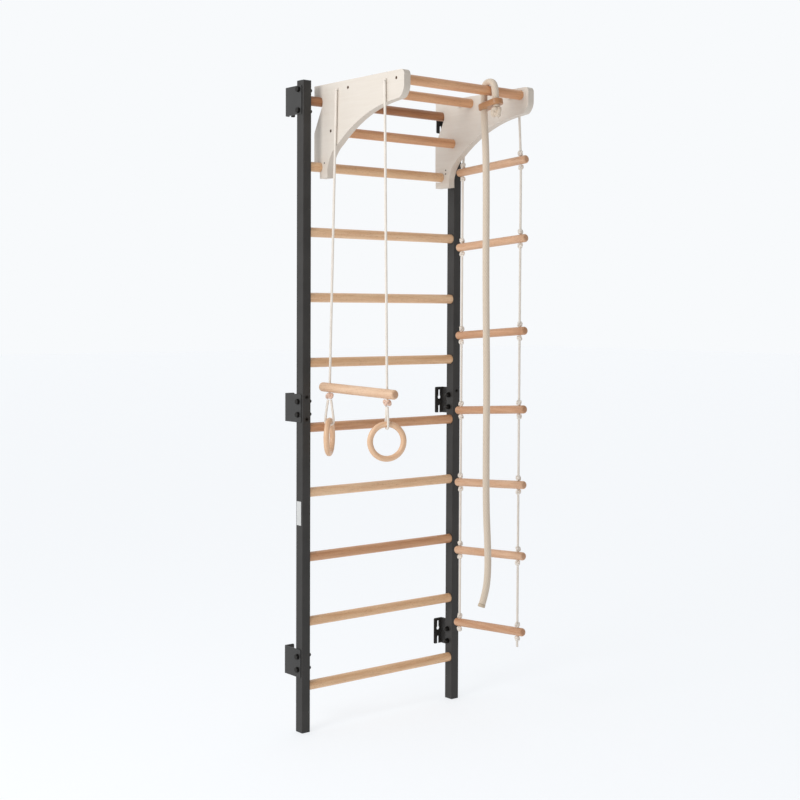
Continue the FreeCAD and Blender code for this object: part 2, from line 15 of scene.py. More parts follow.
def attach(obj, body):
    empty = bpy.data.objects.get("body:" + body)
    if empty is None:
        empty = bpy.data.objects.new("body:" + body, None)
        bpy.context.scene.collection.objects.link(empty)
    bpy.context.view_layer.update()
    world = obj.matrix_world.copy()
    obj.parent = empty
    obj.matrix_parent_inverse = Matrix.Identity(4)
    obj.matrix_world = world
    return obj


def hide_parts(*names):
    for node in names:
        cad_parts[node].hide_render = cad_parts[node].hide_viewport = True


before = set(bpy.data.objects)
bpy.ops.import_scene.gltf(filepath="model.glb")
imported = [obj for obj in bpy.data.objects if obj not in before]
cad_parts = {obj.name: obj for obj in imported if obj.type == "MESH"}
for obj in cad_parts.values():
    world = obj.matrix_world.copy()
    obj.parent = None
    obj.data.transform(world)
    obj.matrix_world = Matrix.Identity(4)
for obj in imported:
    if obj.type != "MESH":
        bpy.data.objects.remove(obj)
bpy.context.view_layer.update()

print("frame loaded:", len(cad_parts), "nodes")

# %% [markdown]
# All sizes below are the real ones in millimetres. Places on the object are counted from the top rung:
# x across, u from the rung's axis towards the wall, and h above it. One helper turns them into metres.

# %% Sizes and places
RUNG_Y = 200.0
TOP_RUNG = 2232.0
PANEL = 27.0
UNIT_LEFT = -285.0
UNIT_RIGHT = 311.0
TRAPEZE_X = -291.0
LADDER_X = 327.0
HOLE_H = 32.0
REAR_HOLE = -106.0
FRONT_HOLE = -374.0
BAR_PLACES = [(-427.0, 32.0), (-164.0, 32.0), (-65.0, -108.0)]
PIN_PLACES = [(-29.0, -217.0), (-28.0, -204.0), (-28.0, -218.0)]
THIN = 9.0
THICK = 25.0
SEAT = 0.35


def metres(x, y, z):
    return Vector((x, y, z)) / 1000


def at(x, u, h):
    """A point given from the top rung, in metres."""
    return metres(x, RUNG_Y + u, TOP_RUNG + h)


# %% [markdown]
# ## Camera and light
# A camera is a point, a direction and a lens. It stands 1.5 m above the floor and about five
# metres off, to the left of the front, and looks a little down. A long lens keeps the posts nearly parallel.

# %% Camera
YAW = 0.6879
PITCH = 0.0337
ROLL = -0.0043
FOCAL_IN_WIDTHS = 1.749625
SENSOR = 36.0
RISE = -0.0518
CAMERA_PLACE = (-3219.5, -3823.5, 1494.3)

forward = Vector((math.sin(YAW) * math.cos(PITCH), math.cos(YAW) * math.cos(PITCH), -math.sin(PITCH)))
level = Vector((math.cos(YAW), -math.sin(YAW), 0))
down = forward.cross(level)
rightward = level * math.cos(ROLL) + down * math.sin(ROLL)
upward = level * math.sin(ROLL) - down * math.cos(ROLL)
camera_data = bpy.data.cameras.new("camera")
camera_data.sensor_width = SENSOR
camera_data.lens = FOCAL_IN_WIDTHS * SENSOR
camera_data.shift_y = RISE
camera = bpy.data.objects.new("camera", camera_data)
turn = Matrix((rightward, upward, -forward)).transposed().to_4x4()
camera.matrix_world = Matrix.Translation(metres(*CAMERA_PLACE)) @ turn
bpy.context.collection.objects.link(camera)
bpy.context.scene.camera = camera
bpy.context.scene.view_settings.view_transform = "Standard"
print("lens %.1f mm" % camera_data.lens)

# %% [markdown]
# ## Colours and materials
# Colours are chosen as hex codes, which are sRGB. Shaders reckon in linear light, so one function
# turns a code into linear numbers. Another adds a node with its settings and its links: a value that is
# a socket becomes a link, and any other value is set on the input. A mix node's sockets go by number, because
# several of them share a name. ROUGHENING is how strongly the finer layers of a noise show.


# %% Helpers for materials
MIX_SHARE, MIX_FIRST, MIX_SECOND, MIX_COLOUR = 0, 6, 7, 2
ROUGHENING = 0.55


def linear(code):
    """A hex code such as #a0b0c0 as linear red, green, blue and a full alpha, by the sRGB standard."""
    channels = [int(code[i:i + 2], 16) / 255 for i in (1, 3, 5)]
    return tuple(c / 12.92 if c <= 0.04045 else ((c + 0.055) / 1.055) ** 2.4 for c in channels) + (1.0,)


def per_metre(size_mm):
    """How many patches of this size fit in a metre, which is what a pattern's Scale counts."""
    return 1000 / size_mm


def add_node(material, kind, output, inputs, **settings):
    """Adds a node with its settings, its numbers and its links, and gives one of its outputs."""
    made = material.node_tree.nodes.new(kind)
    for key, value in settings.items():
        setattr(made, key, value)
    for key, value in inputs.items():
        if isinstance(value, bpy.types.NodeSocket):
            material.node_tree.links.new(value, made.inputs[key])
        else:
            made.inputs[key].default_value = value
    return made.outputs[output]


def finish(name, roughness, **numbers):
    """A new material and its shader; the numbers go on the shader's own inputs."""
    material = bpy.data.materials.new(name)
    material.use_nodes = True
    shader = material.node_tree.nodes["Principled BSDF"]
    shader.inputs["Roughness"].default_value = roughness
    for key, value in numbers.items():
        shader.inputs[key.replace("_", " ")].default_value = value
    return material, shader


def plug_in(material, shader, colour, height, depth_mm):
    """Links a colour and a relief of the given depth to the shader."""
    relief = add_node(material, "ShaderNodeBump", "Normal", {"Height": height, "Distance": depth_mm / 1000})
    material.node_tree.links.new(colour, shader.inputs["Base Color"])
    material.node_tree.links.new(relief, shader.inputs["Normal"])


# %% [markdown]
# ### Powder-coated steel
# The posts and wall plates are steel tube and sheet, sprayed with dry paint and baked. That gives a dark
# grey, half matt skin with a fine orange-peel relief. Real orange peel is about 1 mm across. It is
# drawn at 2.5 mm, because anything finer can't be seen from where the camera stands. Faint clouds 90 mm
# across vary the colour and the gloss.


# %% Powder coat
def powder_coat(name, colour, mottled_and_groove_shaded):
    material, shader = finish(name, roughness=0.5, Specular_IOR_Level=0.3)
    place = add_node(material, "ShaderNodeTexCoord", "Object", {})
    clouds = add_node(material, "ShaderNodeTexNoise", "Fac", {
        "Vector": place, "Scale": per_metre(90.0), "Detail": 3.0, "Roughness": ROUGHENING})
    peel = add_node(material, "ShaderNodeTexNoise", "Fac", {
        "Vector": place, "Scale": per_metre(2.5), "Detail": 2.0, "Roughness": ROUGHENING})
    share = add_node(material, "ShaderNodeMapRange", "Result", {
        "Value": clouds, "From Min": 0.35, "From Max": 0.65})
    tint = add_node(material, "ShaderNodeMix", MIX_COLOUR, {
        MIX_SHARE: share, MIX_FIRST: linear(colour), MIX_SECOND: linear(mottled_and_groove_shaded)}, data_type="RGBA")
    plug_in(material, shader, tint, peel, depth_mm=0.12)
    gloss = add_node(material, "ShaderNodeMapRange", "Result", {
        "Value": clouds, "From Min": 0.3, "From Max": 0.7, "To Min": 0.44, "To Max": 0.56})
    material.node_tree.links.new(gloss, shader.inputs["Roughness"])
    return material


post_coat = powder_coat("charcoal_powder_coat", "#33312f", "#3b3937")
plate_coat = powder_coat("grey_powder_coat", "#393837", "#403f3e")

# %% [markdown]
# ### Beech
# Beech is pale and warm, with a straight grain and many short brown flecks, and here it has a thin
# satin varnish. The grain runs along each rod, so the pattern is squeezed along that axis: streaks 12 mm
# wide become 200 mm long. The real flecks are 2 mm long, and they are drawn about four times as long so
# that they show. Where a rod is cut across, the end grain drinks more varnish and is darker.


# %% Varnished beech
GRAIN = 0.06
FLECK_GRAIN = 0.28


def along(axis, squeeze):
    """A pattern's scale that stretches it along one axis of the rod."""
    return (squeeze, 1.0, 1.0) if axis == "X" else (1.0, squeeze, 1.0)


def beech(name, pale, brown, axis, shift=0.0):
    material, shader = finish(name, roughness=0.42, Coat_Weight=0.12, Coat_Roughness=0.3)
    place = add_node(material, "ShaderNodeTexCoord", "Object", {})
    grain = add_node(material, "ShaderNodeMapping", "Vector", {
        "Vector": place, "Location": (shift, shift * 0.7, shift * 0.3), "Scale": along(axis, GRAIN)})
    short = add_node(material, "ShaderNodeMapping", "Vector", {
        "Vector": place, "Location": (shift, 0.0, shift), "Scale": along(axis, FLECK_GRAIN)})
    streaks = add_node(material, "ShaderNodeTexNoise", "Fac", {
        "Vector": grain, "Scale": per_metre(12.0), "Detail": 4.0, "Roughness": ROUGHENING})
    pores = add_node(material, "ShaderNodeTexNoise", "Fac", {
        "Vector": grain, "Scale": per_metre(2.6), "Detail": 2.0, "Roughness": ROUGHENING})
    flecks = add_node(material, "ShaderNodeTexNoise", "Fac", {
        "Vector": short, "Scale": per_metre(2.2), "Detail": 1.0, "Roughness": ROUGHENING})
    streak_share = add_node(material, "ShaderNodeMapRange", "Result", {
        "Value": streaks, "From Min": 0.3, "From Max": 0.7})
    pore_share = add_node(material, "ShaderNodeMapRange", "Result", {
        "Value": pores, "From Min": 0.52, "From Max": 0.75, "To Max": 0.3})
    fleck_share = add_node(material, "ShaderNodeMapRange", "Result", {
        "Value": flecks, "From Min": 0.60, "From Max": 0.72, "To Max": 0.32})
    wood = add_node(material, "ShaderNodeMix", MIX_COLOUR, {
        MIX_SHARE: streak_share, MIX_FIRST: linear(pale), MIX_SECOND: linear(brown)}, data_type="RGBA")
    lined = add_node(material, "ShaderNodeMix", MIX_COLOUR, {
        MIX_SHARE: pore_share, MIX_FIRST: wood, MIX_SECOND: linear("#a9764c")}, data_type="RGBA")
    flecked = add_node(material, "ShaderNodeMix", MIX_COLOUR, {
        MIX_SHARE: fleck_share, MIX_FIRST: lined, MIX_SECOND: linear("#8a5833")}, data_type="RGBA")
    facing = add_node(material, "ShaderNodeTexCoord", "Normal", {})
    endways = add_node(material, "ShaderNodeSeparateXYZ", axis, {"Vector": facing})
    squarely = add_node(material, "ShaderNodeMath", "Value", {0: endways}, operation="ABSOLUTE")
    cut_share = add_node(material, "ShaderNodeMapRange", "Result", {
        "Value": squarely, "From Min": 0.75, "From Max": 0.97, "To Max": 0.42})
    cut = add_node(material, "ShaderNodeMix", MIX_COLOUR, {
        MIX_SHARE: cut_share, MIX_FIRST: flecked, MIX_SECOND: linear("#a8714a")}, data_type="RGBA")
    plug_in(material, shader, cut, pores, depth_mm=0.15)
    return material


rung_woods = [
    beech("varnished_beech_pale", "#f0cca5", "#e2b48a", "X", 0.0),
    beech("varnished_beech_honey", "#eac298", "#d9a97d", "X", 1.7),
    beech("varnished_beech_warm", "#d8a67c", "#c18a62", "X", 3.1),
    # The darkest copy is painted shade: it goes on the top rung, which the pull-up unit's boards shade.
    beech("varnished_beech_painted_shade", "#ad7850", "#935f3b", "X", 6.1),
]
bar_wood = beech("varnished_beech_bars", "#e2ae82", "#cf9469", "X", 5.3)
trapeze_wood = beech("varnished_beech_trapeze", "#e6c5a6", "#d8ae8b", "Y", 0.6)
ladder_woods = [
    beech("varnished_beech_ladder_light", "#deb695", "#cfa17d", "Y", 2.2),
    beech("varnished_beech_ladder_dark", "#d2a581", "#be8a64", "Y", 4.4),
]
adjuster_wood = beech("varnished_beech_adjuster", "#c08e62", "#a8754b", "Y", 7.9)


# %% [markdown]
# ### Stained birch plywood
# The side boards are birch plywood under a white stain. Their faces are almost even, with a trace of
# grain along the board. On the cut edges the nine plies show as soft stripes, 3 mm each. At Scale 1 a wave
# texture repeats every 2 pi / 20, so its Scale is the number of stripe pairs in a metre times that.


# %% Stained plywood
PLY_PAIR = 6.0
WAVE_SCALE = 2 * math.pi / 20
VENEER_GRAIN = 0.07


def stained_plywood(name):
    material, shader = finish(name, roughness=0.5, Coat_Weight=0.08, Coat_Roughness=0.4)
    place = add_node(material, "ShaderNodeTexCoord", "Object", {})
    grain = add_node(material, "ShaderNodeMapping", "Vector", {
        "Vector": place, "Scale": along("Y", VENEER_GRAIN)})
    veneer = add_node(material, "ShaderNodeTexNoise", "Fac", {
        "Vector": grain, "Scale": per_metre(9.0), "Detail": 4.0, "Roughness": ROUGHENING})
    veneer_share = add_node(material, "ShaderNodeMapRange", "Result", {
        "Value": veneer, "From Min": 0.3, "From Max": 0.7})
    face = add_node(material, "ShaderNodeMix", MIX_COLOUR, {
        MIX_SHARE: veneer_share, MIX_FIRST: linear("#dcd3c8"), MIX_SECOND: linear("#d8cec2")}, data_type="RGBA")
    plies = add_node(material, "ShaderNodeTexWave", "Fac", {
        "Vector": place, "Scale": per_metre(PLY_PAIR) * WAVE_SCALE, "Distortion": 0.0}, bands_direction="X")
    ply = add_node(material, "ShaderNodeMix", MIX_COLOUR, {
        MIX_SHARE: plies, MIX_FIRST: linear("#d6cbbe"), MIX_SECOND: linear("#cbbdac")}, data_type="RGBA")
    facing = add_node(material, "ShaderNodeTexCoord", "Normal", {})
    sideways = add_node(material, "ShaderNodeSeparateXYZ", "X", {"Vector": facing})
    squarely = add_node(material, "ShaderNodeMath", "Value", {0: sideways}, operation="ABSOLUTE")
    edge = add_node(material, "ShaderNodeMapRange", "Result", {
        "Value": squarely, "From Min": 0.9, "From Max": 0.3, "To Max": 0.5})
    board = add_node(material, "ShaderNodeMix", MIX_COLOUR, {
        MIX_SHARE: edge, MIX_FIRST: face, MIX_SECOND: ply}, data_type="RGBA")
    plug_in(material, shader, board, veneer, depth_mm=0.08)
    return material


board_stain = stained_plywood("white_stained_birch_plywood")


# %% [markdown]
# ### Rope fibre
# The thin ropes are plaited polypropylene and the climbing rope is plaited cotton. Both are matt and
# cream. The plait itself is modelled, and each rope's mesh carries a number from 0 in its grooves to 1 on
# its strands, so shade can be painted into the grooves: they are darker though the fibre is one colour. Fine
# fibres, drawn at 1.5 mm, run at a slant along the rope.


# %% Rope fibre
FIBRE_GRAIN = 0.25
FIBRE_SLANT = 0.5


def rope_fibre(name, light, groove_shade, radius_mm):
    material, shader = finish(name, roughness=0.85, Sheen_Weight=0.25, Sheen_Roughness=0.6)
    around = 2 * math.pi * radius_mm / 1000
    lay = add_node(material, "ShaderNodeUVMap", "UV", {}, uv_map="along")
    flat = add_node(material, "ShaderNodeMapping", "Vector", {
        "Vector": lay, "Scale": (around, 1.0, 1.0), "Rotation": (0.0, 0.0, FIBRE_SLANT)})
    thin = add_node(material, "ShaderNodeMapping", "Vector", {"Vector": flat, "Scale": along("Y", FIBRE_GRAIN)})
    fibres = add_node(material, "ShaderNodeTexNoise", "Fac", {
        "Vector": thin, "Scale": per_metre(1.5), "Detail": 3.0, "Roughness": ROUGHENING})
    strand_height = add_node(material, "ShaderNodeAttribute", "Fac", {}, attribute_name="strand")
    on_strand = add_node(material, "ShaderNodeMapRange", "Result", {
        "Value": strand_height, "From Min": 0.1, "From Max": 0.8})
    fibre_share = add_node(material, "ShaderNodeMapRange", "Result", {
        "Value": fibres, "From Min": 0.45, "From Max": 0.75, "To Max": 0.25})
    # Painted shade: the colour turns darker where the strand mask is low, in the grooves of the plait.
    strand = add_node(material, "ShaderNodeMix", MIX_COLOUR, {
        MIX_SHARE: on_strand, MIX_FIRST: linear(groove_shade), MIX_SECOND: linear(light)}, data_type="RGBA")
    # The fine fibres mix in a little more of the same painted groove shade.
    mottled_and_groove_shaded = add_node(material, "ShaderNodeMix", MIX_COLOUR, {
        MIX_SHARE: fibre_share, MIX_FIRST: strand, MIX_SECOND: linear(groove_shade)}, data_type="RGBA")
    plug_in(material, shader, mottled_and_groove_shaded, fibres, depth_mm=0.25)
    return material


thin_fibre = rope_fibre("plaited_polypropylene", "#f2eae0", "#cdbfae", THIN / 2)
knot_fibre = rope_fibre("tied_polypropylene", "#e3c2ae", "#c29c86", THIN / 2)
thick_fibre = rope_fibre("plaited_cotton", "#dfcfbc", "#b9a48b", THICK / 2)


# %% [markdown]
# ### Small hardware
# Bolts, washers, cap nuts, inserts and pins are steel with a black oxide skin, and the screws in the
# boards are a warm brown metal. The caps and feet are moulded polypropylene with a fine spark-eroded grain, the
# label is a plain matt film, and the climbing rope's end is wrapped in cloth tape. The spots on the steel
# are drawn at 5 to 6 mm: a real skin is finer, and these only stop it from being one even colour.


# %% Small hardware
def metal(name, colour, roughness, spot_mm):
    material, shader = finish(name, roughness, Metallic=1.0)
    place = add_node(material, "ShaderNodeTexCoord", "Object", {})
    spots = add_node(material, "ShaderNodeTexNoise", "Fac", {
        "Vector": place, "Scale": per_metre(spot_mm), "Detail": 3.0, "Roughness": ROUGHENING})
    dull = add_node(material, "ShaderNodeMix", MIX_COLOUR, {
        MIX_SHARE: 0.35, MIX_FIRST: linear(colour), MIX_SECOND: linear("#8c8c8c")},
        data_type="RGBA", blend_type="MULTIPLY")
    tint = add_node(material, "ShaderNodeMix", MIX_COLOUR, {
        MIX_SHARE: spots, MIX_FIRST: linear(colour), MIX_SECOND: dull}, data_type="RGBA")
    plug_in(material, shader, tint, spots, depth_mm=0.05)
    return material


def grained(name, colour, second, roughness, grain_mm, depth_mm):
    """Moulded plastic, film or tape: two near colours in a grain of the given size."""
    material, shader = finish(name, roughness)
    place = add_node(material, "ShaderNodeTexCoord", "Object", {})
    grain = add_node(material, "ShaderNodeTexNoise", "Fac", {
        "Vector": place, "Scale": per_metre(grain_mm), "Detail": 2.0, "Roughness": ROUGHENING})
    tint = add_node(material, "ShaderNodeMix", MIX_COLOUR, {
        MIX_SHARE: grain, MIX_FIRST: linear(colour), MIX_SECOND: linear(second)}, data_type="RGBA")
    plug_in(material, shader, tint, grain, depth_mm)
    return material


black_oxide = metal("black_oxide_steel", "#3c3a38", roughness=0.45, spot_mm=6.0)
warm_brown_screw_metal = metal("warm_brown_steel_screws", "#80685a", roughness=0.5, spot_mm=5.0)
black_plastic = grained("moulded_polypropylene_black", "#232323", "#343434", 0.55, grain_mm=1.2, depth_mm=0.1)
matt_film = grained("matt_label_film", "#d2d2d0", "#c4c4c2", 0.45, grain_mm=20.0, depth_mm=0.02)
sealing_tape = grained("wrapped_polyester_tape", "#cdbba4", "#b9a78f", 0.6, grain_mm=2.0, depth_mm=0.1)

# %% [markdown]
# Every part of the frame that keeps its shape now gets its finish. The rungs take turns with three woods,
# because no two beech rods match. The top rung gets a fourth, darker copy of beech: painted shade where the
# pull-up unit's boards hook over it.

# %% Dress the frame
WOOD_ORDER = [3, 1, 0, 0, 1, 2, 0, 2, 1, 1]
finishes = {
    "accessory_inserts": black_oxide, "bracket_bolts": black_oxide, "bolt_washers": black_oxide,
    "dome_nuts": black_oxide, "bar_screws": warm_brown_screw_metal, "lock_pins": black_oxide, "blank_label": matt_film,
    "front_bar": bar_wood, "middle_bar": bar_wood, "lower_bar": bar_wood, "trapeze_bar": trapeze_wood,
    "rope_adjuster": adjuster_wood, "rope_end_seal": sealing_tape,
}
for side in ("left", "right"):
    finishes[side + "_post"] = post_coat
    finishes[side + "_top_cap"] = black_plastic
    finishes[side + "_foot"] = black_plastic
    for level_name in ("top", "middle", "bottom"):
        finishes[side + "_" + level_name + "_bracket"] = plate_coat
for i, wood in enumerate(WOOD_ORDER):
    finishes["rung_%02d" % (i + 1)] = rung_woods[wood]
for i in range(7):
    finishes["ladder_rung_%d" % (i + 1)] = ladder_woods[(i // 2) % 2]
for node_name, material in finishes.items():
    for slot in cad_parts[node_name].material_slots:
        slot.material = material
print("finishes given to", len(finishes), "nodes")


# %% [markdown]
# ## Helpers for modelling
# An operator works on whatever is selected, so each step first deselects everything, and then picks edges
# by their place.


# %% Modelling helpers
def only(piece):
    """Makes one piece the selected and active one."""
    bpy.ops.object.select_all(action="DESELECT")
    piece.select_set(True)
    bpy.context.view_layer.objects.active = piece


def give(piece, material, body, replaced):
    piece.data.materials.clear()
    piece.data.materials.append(material)
    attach(piece, body)
    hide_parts(*replaced)


def pick_edges(piece, test):
    """Selects the edges for which test(first end, second end) is true, in metres."""
    bpy.ops.object.mode_set(mode="EDIT")
    bpy.ops.mesh.select_mode(type="EDGE")
    bpy.ops.mesh.select_all(action="DESELECT")
    bpy.ops.object.mode_set(mode="OBJECT")
    mesh = piece.data
    count = 0
    for edge in mesh.edges:
        first, second = (mesh.vertices[v].co for v in edge.vertices)
        edge.select = test(first, second)
        count += edge.select
    bpy.ops.object.mode_set(mode="EDIT")
    return count


# %% [markdown]
# ## The side boards
# Each board is sawn to its outline and then run along a router, which rounds the rim. So the sawn shape
# is copied, its loose triangles are merged and flattened, the rim's edges are picked, and a bevel rounds
# them. The small holes for screws, ropes and pins stay sharp, so edges close to them are left out. Last,
# weighted normals let the large faces decide the shading, or the smooth rim would draw dark wedges on them.

# %% Round the side boards
RIM = 3.6
HOLE_CLEAR = 9.0
SAME_PLACE = 1e-5
NEARLY_FLAT = math.radians(0.5)
SMOOTH_UNDER = math.radians(30)
RIM_STEPS = 4
MOST_WEIGHT = 100
hole_places = [Vector((RUNG_Y + u, TOP_RUNG + h)) / 1000
               for u, h in BAR_PLACES + PIN_PLACES + [(REAR_HOLE, HOLE_H), (FRONT_HOLE, HOLE_H)]]


def rounded_board(side_name, x0):
    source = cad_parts[side_name + "_side_panel"]
    board = bpy.data.objects.new(side_name + "_board", source.data.copy())
    bpy.context.collection.objects.link(board)
    only(board)
    bpy.ops.object.mode_set(mode="EDIT")
    bpy.ops.mesh.select_all(action="SELECT")
    bpy.ops.mesh.remove_doubles(threshold=SAME_PLACE)
    bpy.ops.mesh.dissolve_limited(angle_limit=NEARLY_FLAT)
    bpy.ops.object.mode_set(mode="OBJECT")
    faces_x = (x0 / 1000, (x0 + PANEL) / 1000)

    def on_rim(first, second):
        if abs(first.x - second.x) > SAME_PLACE or min(abs(first.x - x) for x in faces_x) > SAME_PLACE:
            return False
        middle = ((first + second) / 2).yz
        return min((middle - hole).length for hole in hole_places) > HOLE_CLEAR / 1000

    board_edges = pick_edges(board, on_rim)
    bpy.ops.mesh.bevel(offset=RIM / 1000, segments=RIM_STEPS, profile=0.5, affect="EDGES", clamp_overlap=True)
    bpy.ops.object.mode_set(mode="OBJECT")
    bpy.ops.object.shade_smooth_by_angle(angle=SMOOTH_UNDER)
    flatten = board.modifiers.new("flat_faces", "WEIGHTED_NORMAL")
    flatten.keep_sharp = True
    flatten.weight = MOST_WEIGHT
    bpy.ops.object.modifier_apply(modifier=flatten.name)
    give(board, board_stain, "pull_up_unit", [source.name])
    print(board.name, board_edges, "rim edges,", len(board.data.polygons), "faces")


rounded_board("left", UNIT_LEFT)
rounded_board("right", UNIT_RIGHT - PANEL)


# %% [markdown]
# ## Ropes
# A rope follows a smooth line through a few given points: a NURBS curve. The curve alone would be
# a plain tube, so its line is read as points, and a mesh is built round it, ring by ring. The ring's
# radius swells where a strand comes to the surface: two sets of strands wind opposite ways, and together
# they make the diamonds of a plait.


# %% Rope helpers
LINE_STEPS = 24


def smooth_line(name, points):
    """The points of the NURBS line that the route's points control."""
    curve = bpy.data.curves.new(name + "_line", "CURVE")
    curve.dimensions = "3D"
    curve.resolution_u = LINE_STEPS
    spline = curve.splines.new("NURBS")
    spline.points.add(len(points) - 1)
    for control, point in zip(spline.points, points):
        control.co = (*point, 1.0)
    spline.order_u = min(3, len(points))
    spline.use_endpoint_u = True
    holder = bpy.data.objects.new(name + "_line", curve)
    mesh = bpy.data.meshes.new_from_object(holder)
    line = [v.co.copy() for v in mesh.vertices]
    bpy.data.objects.remove(holder)
    bpy.data.meshes.remove(mesh)
    return line


def even_steps(line, step):
    """The same line with points an even step apart, and its length."""
    length = sum((b - a).length for a, b in zip(line, line[1:]))
    count = max(2, round(length / step))
    spaced, walked, index = [line[0]], 0.0, 0
    for i in range(1, count):
        goal = length * i / count
        while walked + (line[index + 1] - line[index]).length < goal:
            walked += (line[index + 1] - line[index]).length
            index += 1
        run = line[index + 1] - line[index]
        spaced.append(line[index] + run * ((goal - walked) / run.length))
    return spaced + [line[-1]], length


def plait(angle, distance, strands, pitch):
    """How far a strand stands out here, from 0 to 1."""
    turn_one = strands / 2 * angle + 2 * math.pi * distance / pitch
    turn_two = strands / 2 * angle - 2 * math.pi * distance / pitch
    return 0.5 * (abs(math.cos(turn_one)) + abs(math.cos(turn_two)))


def skin(name, rings, heights, distances, closed):
    """A mesh from rings of points, with its lengthwise map and the strands' heights."""
    sides = len(rings[0])
    vertices = [point for ring in rings for point in ring]
    spans = len(rings) if closed else len(rings) - 1
    faces, flat = [], []
    for i in range(spans):
        k = (i + 1) % len(rings)
        far = distances[i] + (distances[1] - distances[0])
        for j in range(sides):
            n = (j + 1) % sides
            faces.append((i * sides + j, i * sides + n, k * sides + n, k * sides + j))
            left, right = j / sides, (j + 1) / sides
            flat += [(left, distances[i]), (right, distances[i]), (right, far), (left, far)]
    if not closed:
        faces.append(tuple(reversed(range(sides))))
        flat += [(0.0, 0.0)] * sides
        faces.append(tuple(range((len(rings) - 1) * sides, len(rings) * sides)))
        flat += [(0.0, distances[-1])] * sides
    mesh = bpy.data.meshes.new(name)
    mesh.from_pydata(vertices, [], faces)
    layer = mesh.uv_layers.new(name="along")
    for loop, place in zip(layer.data, flat):
        loop.uv = place
    strand = mesh.attributes.new("strand", "FLOAT", "POINT")
    for item, value in zip(strand.data, heights):
        item.value = value
    mesh.shade_smooth()
    piece = bpy.data.objects.new(name, mesh)
    bpy.context.collection.objects.link(piece)
    return piece


def plaited_tube(name, line, diameter, strands, pitch, step, sides, relief=0.12):
    """A plaited rope along a line; all sizes but the line are in millimetres."""
    spaced, length = even_steps(line, step / 1000)
    radius = diameter / 2000
    rings, heights, distances = [], [], []
    ahead = (spaced[1] - spaced[0]).normalized()
    normal = ahead.orthogonal().normalized()
    for i, point in enumerate(spaced):
        before, after = spaced[max(i - 1, 0)], spaced[min(i + 1, len(spaced) - 1)]
        ahead = (after - before).normalized()
        normal = (normal - ahead * normal.dot(ahead)).normalized()
        side = ahead.cross(normal)
        distance = length * i / (len(spaced) - 1)
        ring = []
        for j in range(sides):
            angle = 2 * math.pi * j / sides
            height = plait(angle, distance * 1000, strands, pitch)
            reach = radius * (1 - relief * (1 - height))
            ring.append(point + normal * (reach * math.cos(angle)) + side * (reach * math.sin(angle)))
            heights.append(height)
        rings.append(ring)
        distances.append(distance)
    return skin(name, rings, heights, distances, False), length


# %% [markdown]
# A rope that hangs free is given by its thickness, the point where it leaves the object and a few points
# down to its far end; its length is measured along that line and printed.


# %% Thin rope routes
def below_anchor(x, hole, lower):
    """Where a rope starts, just off the round end of its anchor."""
    anchor = at(x, hole, HOLE_H)
    return anchor + (lower - anchor).normalized() * ((THIN / 2 + SEAT) / 1000)


THIN_PLAIT = {"strands": 8, "pitch": 14.0}
THIN_MESH = {"step": 1.8, "sides": 16}


def thin_rope(name, body, points):
    line = smooth_line(name, points)
    piece, length = plaited_tube(name + "_plaited", line, THIN, **THIN_PLAIT, **THIN_MESH)
    give(piece, thin_fibre, body, [name])
    print("%s: %.0f mm" % (name, length * 1000))


TRAPEZE_BAR_H = HOLE_H - 1042.0
TRAPEZE_BAR_REAR = 24.0
TRAPEZE_BAR_SPAN = 414.0
TRAPEZE_BAR_SLOPE = 9.0
TRAPEZE_BAR = 33.0
KNOT_RADIUS = 12.5
TRAPEZE_ROPES = {"rear": (REAR_HOLE, -70.5), "front": (FRONT_HOLE, -393.0)}


def trapeze_knot_h(u):
    """The height of the knot under the trapeze bar, which slopes a little to the front."""
    share = (-u - TRAPEZE_BAR_REAR) / TRAPEZE_BAR_SPAN - 0.5
    return TRAPEZE_BAR_H - share * TRAPEZE_BAR_SLOPE - TRAPEZE_BAR / 2 - SEAT - KNOT_RADIUS


for name, (hole, u) in TRAPEZE_ROPES.items():
    knot = at(TRAPEZE_X, u, trapeze_knot_h(u))
    thin_rope("trapeze_rope_" + name, "trapeze", [below_anchor(TRAPEZE_X, hole, knot), knot])

LADDER_DROPS = [202.0, 484.0, 817.0, 1101.0, 1375.0, 1634.0, 1911.0]
PAST_CORNER = 190.0
ABOVE_FIRST = 40.0
BELOW_LAST = 46.0
ladder_lines = {}
for name, hole, u_top, u_low in (("rear", REAR_HOLE, -76.0, -73.0), ("front", FRONT_HOLE, -389.0, -387.0)):
    first_rung = at(LADDER_X, u_top, -LADDER_DROPS[0] + ABOVE_FIRST)
    last_knot = at(LADDER_X, u_low, -LADDER_DROPS[-1] - BELOW_LAST)
    below_corner = first_rung.lerp(last_knot, PAST_CORNER / 1000 / (last_knot - first_rung).length)
    route = [below_anchor(LADDER_X, hole, first_rung), first_rung, below_corner, last_knot]
    ladder_lines[name] = smooth_line(name, route)
    thin_rope("ladder_rope_" + name, "rope_ladder", route)

# %% [markdown]
# Each ring hangs in a loop of thin rope that goes down on one side of the ring, under it, and up again.

# %% Rings and their loops
RING_MAJOR = 58.0
RING_TUBE = 20.0
LOOP_NECK = 0.8
RINGS = {"rear": (74.0, math.radians(43)), "front": (59.0, math.radians(-24))}


# %% [markdown]
# A gymnastic ring is turned or bent from beech, so its grain follows the ring. The torus gets its own map,
# once round the ring and once round the tube, and the wood pattern reads that map.


